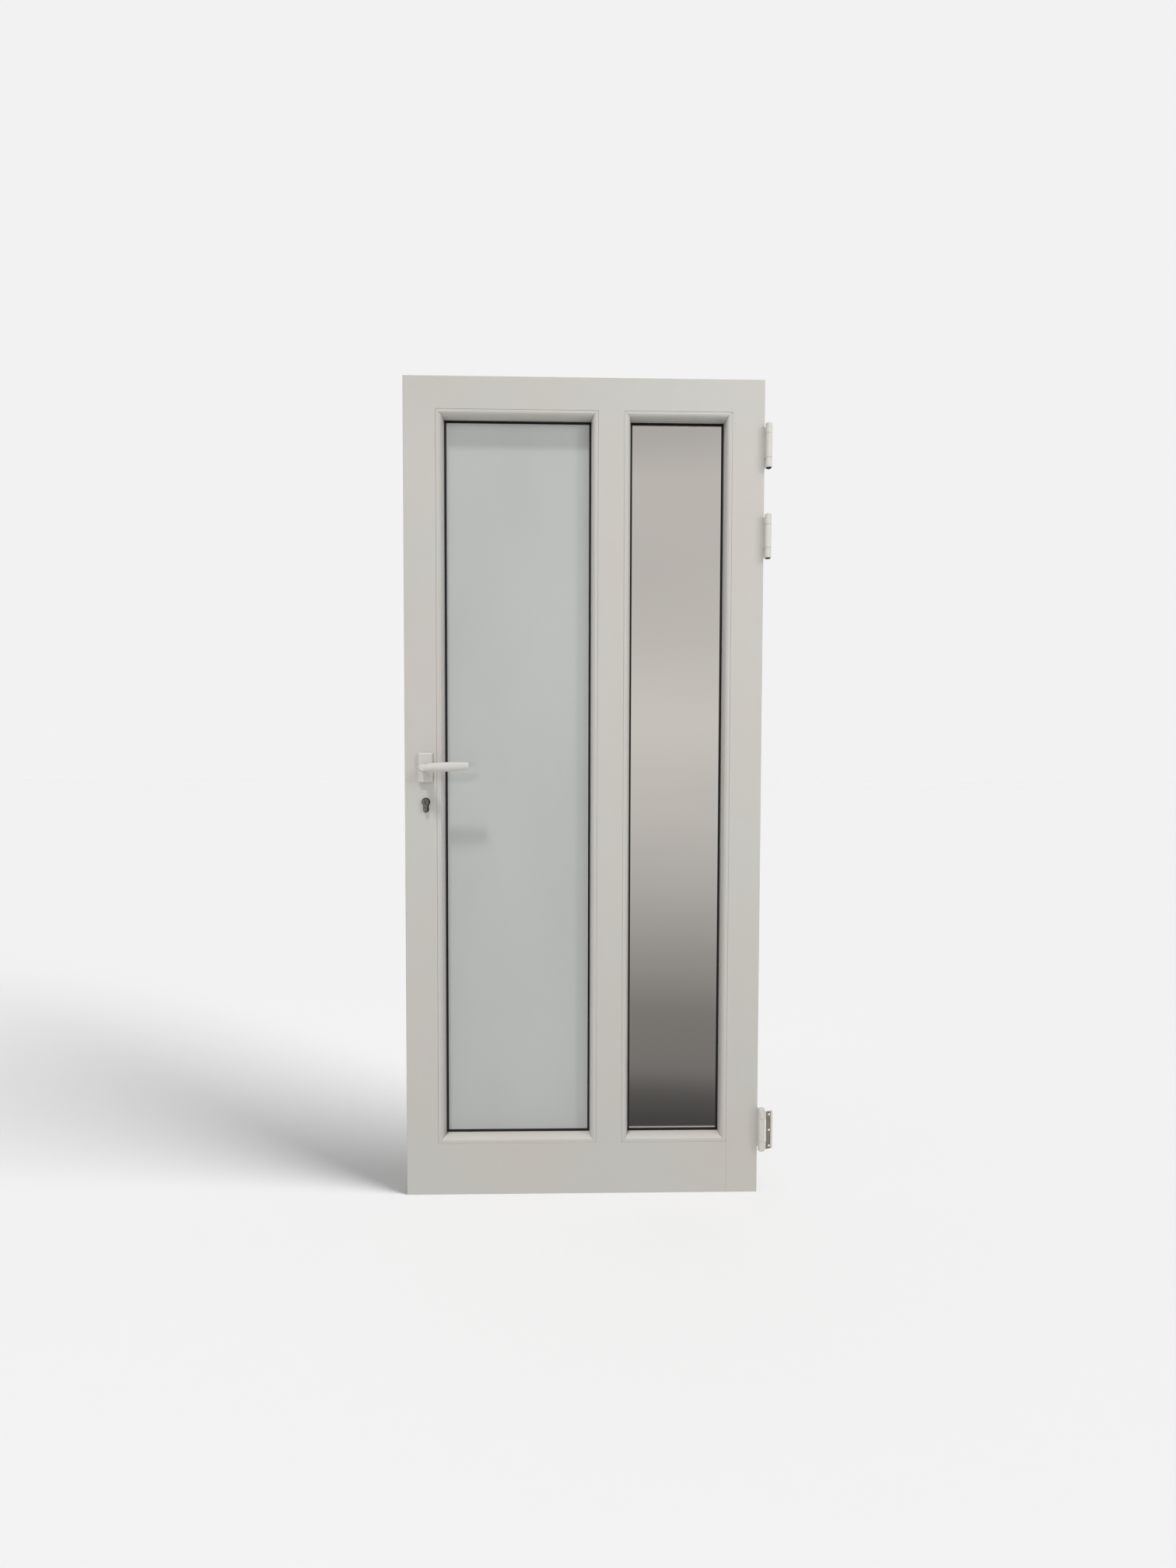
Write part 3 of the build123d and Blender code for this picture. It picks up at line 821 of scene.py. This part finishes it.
class DOOR_OT_drive_screws(bpy.types.Operator):
    """Drive countersunk screws into the hinge leaves and the lock's faceplate"""

    bl_idname = "door.drive_screws"
    bl_label = "Drive screws"

    def execute(self, context):
        sizes = context.scene.door_screws
        tree = screw_tree()
        colours = context.scene.door_finishes
        steel = brushed_steel("turned_stainless_steel", tuple(colours.screw_steel), 0.28, (1, 1, 1))
        points = []
        for name in ("upper", "middle", "lower"):
            low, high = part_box(f"{name}_door_plate")
            points.append((low.x + HINGE_PLATE_THICK, HINGE_SCREW_Y, (low.z + high.z) / 2))
        low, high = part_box("lock_faceplate")
        middle = (low.x, (low.y + high.y) / 2, (low.z + high.z) / 2)
        # Each kind has its points, how many screws a row has, their spacing and their turn
        kinds = (
            ("hinge_screws", points, HINGE_SCREWS, sizes.hinge_pitch, math.pi / 2),
            ("faceplate_screws", [middle], FACEPLATE_SCREWS, sizes.faceplate_pitch, -math.pi / 2),
        )
        for name, spots, count, pitch, turn in kinds:
            piece = screw_rows(name, tree, sizes, spots, count, pitch, (0, turn, 0), steel)
            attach(piece, "leaf")
        bpy.data.node_groups.remove(tree)
        return {"FINISHED"}


class DOOR_OT_build_studio(bpy.types.Operator):
    """Build the floor, the soft light and the camera"""

    bl_idname = "door.build_studio"
    bl_label = "Build studio"

    def execute(self, context):
        studio = context.scene.door_studio
        scene = context.scene
        scene.view_settings.view_transform = "Standard"
        self.light_world(scene, studio)
        floor = self.lay_floor(scene, studio)
        self.hang_lamps(scene, studio, floor)
        self.set_camera(scene, studio)
        return {"FINISHED"}

    def hang_lamps(self, scene, studio, floor):
        """Lamps that light the door alone, and two for the floor, so that it has one soft shadow."""
        only_floor = bpy.data.collections.new("lit_by_ground_light")
        only_floor.objects.link(floor)
        no_floor = bpy.data.collections.new("not_lit_by_door_lights")
        no_floor.objects.link(floor)
        no_floor.collection_objects[0].light_linking.link_state = "EXCLUDE"
        # Each sun has its strength, its width in degrees and the direction that it comes from
        suns = (
            ("key_light", studio.key, 6, Vector((-39, -78, 182)), no_floor),
            ("front_light", studio.front, 8, Vector((-17, -78, 29)), no_floor),
            ("side_light", studio.side, 6, Vector((81, -58, 35)), no_floor),
            ("back_light", studio.back, 20, Vector((-30, 80, 50)), no_floor),
            ("ground_light", studio.ground, 30, Vector((94, -34, 62)), only_floor),
            ("ground_fill_light", studio.ground_fill, 60, Vector((0, 0, 1)), only_floor),
        )
        for name, strength, width, source, lit in suns:
            sun = bpy.data.lights.new(name, "SUN")
            sun.energy = strength
            sun.angle = math.radians(width)
            lamp = bpy.data.objects.new(name, sun)
            lamp.rotation_euler = source.to_track_quat("Z", "Y").to_euler()
            lamp.visible_glossy = False
            lamp.light_linking.receiver_collection = lit
            scene.collection.objects.link(lamp)
        panel = bpy.data.lights.new("panel_light", "AREA")
        panel.energy = studio.panel
        panel.size = PANEL_SIZE
        lamp = bpy.data.objects.new("panel_light", panel)
        lamp.location = PANEL_PLACE
        source = lamp.location - Vector(PANEL_AIM)
        lamp.rotation_euler = source.to_track_quat("Z", "Y").to_euler()
        lamp.visible_camera = False
        lamp.visible_glossy = False
        lamp.light_linking.receiver_collection = no_floor
        scene.collection.objects.link(lamp)

    def light_world(self, scene, studio):
        """Backdrop for the camera, a soft even sky, and in gloss a room that darkens downwards."""
        world = bpy.data.worlds.new("studio")
        world.use_nodes = True
        tree = world.node_tree
        tree.nodes.clear()
        rays = add_node(tree, "ShaderNodeLightPath").outputs
        direction = add_node(tree, "ShaderNodeTexCoord").outputs["Generated"]
        height = add_node(tree, "ShaderNodeSeparateXYZ", Vector=direction).outputs["Z"]
        level = add_node(tree, "ShaderNodeMapRange", Value=height, From_Min=-1.0, From_Max=1.0)
        ramp = add_node(tree, "ShaderNodeValToRGB", Fac=level.outputs["Result"])
        stops = ROOM_BELOW + ROOM_ABOVE
        elements = ramp.color_ramp.elements
        while len(elements) < len(stops):
            elements.new(0.5)
        # All positions come first, since a ramp sorts its stops by them
        for element, stop in zip(elements, stops):
            element.position = stop[0]
        for element, stop in zip(elements, stops):
            element.color = (stop[1], stop[1], stop[1], 1)
        sky = add_node(tree, "ShaderNodeBackground", Color=(1, 1, 1, 1), Strength=studio.sky)
        room = add_node(tree, "ShaderNodeBackground", Color=ramp.outputs["Color"])
        backdrop = add_node(tree, "ShaderNodeBackground", Color=tuple(studio.backdrop))
        in_gloss = add_node(tree, "ShaderNodeMixShader", Fac=rays["Is Glossy Ray"])
        tree.links.new(sky.outputs[0], in_gloss.inputs[1])
        tree.links.new(room.outputs[0], in_gloss.inputs[2])
        seen = add_node(tree, "ShaderNodeMixShader", Fac=rays["Is Camera Ray"])
        tree.links.new(in_gloss.outputs[0], seen.inputs[1])
        tree.links.new(backdrop.outputs[0], seen.inputs[2])
        output = tree.nodes.new("ShaderNodeOutputWorld")
        tree.links.new(seen.outputs[0], output.inputs["Surface"])
        scene.world = world

    def lay_floor(self, scene, studio):
        """Matt floor under the door, left out of reflections."""
        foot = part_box("lock_stile")[0].z
        half = studio.floor_size / 2
        corners = [(x * half, y * half, foot) for x, y in ((-1, -1), (1, -1), (1, 1), (-1, 1))]
        mesh = bpy.data.meshes.new("studio_floor")
        mesh.from_pydata(corners, [], [(0, 1, 2, 3)])
        floor = bpy.data.objects.new("studio_floor", mesh)
        scene.collection.objects.link(floor)
        material, tree, output = new_material("matt_floor_paint")
        shader = add_node(tree, "ShaderNodeBsdfDiffuse", Color=tuple(studio.floor), Roughness=0.0)
        tree.links.new(shader.outputs["BSDF"], output.inputs["Surface"])
        mesh.materials.append(material)
        floor.visible_glossy = False
        return floor

    def set_camera(self, scene, studio):
        """Camera where the photograph was taken from."""
        level = math.cos(CAMERA_PITCH)
        east = math.sin(CAMERA_YAW)
        north = math.cos(CAMERA_YAW)
        ahead = Vector((east * level, north * level, -math.sin(CAMERA_PITCH)))
        right = Vector((north, -east, 0))
        up = right.cross(ahead)
        turned_right = right * math.cos(CAMERA_ROLL) + up * math.sin(CAMERA_ROLL)
        turned_up = up * math.cos(CAMERA_ROLL) - right * math.sin(CAMERA_ROLL)
        data = bpy.data.cameras.new("camera")
        data.sensor_width = SENSOR_WIDTH
        data.lens = studio.lens
        data.clip_end = 200
        camera = bpy.data.objects.new("camera", data)
        camera.rotation_euler = Matrix((turned_right, turned_up, -ahead)).transposed().to_euler()
        camera.location = CAMERA_PLACE
        scene.collection.objects.link(camera)
        scene.camera = camera


class DOOR_PT_looks(bpy.types.Panel):
    """Panel with the door's finishes, screws and studio"""

    bl_idname = "DOOR_PT_looks"
    bl_label = "Glazed Aluminium Door"
    bl_space_type = "VIEW_3D"
    bl_region_type = "UI"
    bl_category = "Door"

    def draw(self, context):
        for group_name in GROUPS:
            group = getattr(context.scene, group_name)
            box = self.layout.box()
            for name in group.__annotations__:
                box.prop(group, name)
        for operator in OPERATORS:
            self.layout.operator(operator.bl_idname)


OPERATORS = (
    DOOR_OT_coat_frame,
    DOOR_OT_glaze,
    DOOR_OT_finish_lock,
    DOOR_OT_finish_hinges,
    DOOR_OT_fit_seals,
    DOOR_OT_drive_screws,
    DOOR_OT_build_studio,
)
GROUPS = {
    "door_finishes": DoorFinishes,
    "door_seals": DoorSeals,
    "door_screws": DoorScrews,
    "door_studio": DoorStudio,
}


def register():
    """Register the classes and hang the property groups on the scene."""
    for kind in (*GROUPS.values(), *OPERATORS, DOOR_PT_looks):
        bpy.utils.register_class(kind)
    for name, kind in GROUPS.items():
        setattr(bpy.types.Scene, name, bpy.props.PointerProperty(type=kind))


def unregister():
    """Take the property groups and classes away again."""
    for name in GROUPS:
        delattr(bpy.types.Scene, name)
    for kind in (DOOR_PT_looks, *reversed(OPERATORS), *reversed(GROUPS.values())):
        bpy.utils.unregister_class(kind)


def main():
    """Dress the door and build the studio."""
    register()
    bpy.ops.door.coat_frame()
    bpy.ops.door.glaze()
    bpy.ops.door.finish_lock()
    bpy.ops.door.finish_hinges()
    bpy.ops.door.fit_seals()
    bpy.ops.door.drive_screws()
    bpy.ops.door.build_studio()


if __name__ == "__main__":
    main()
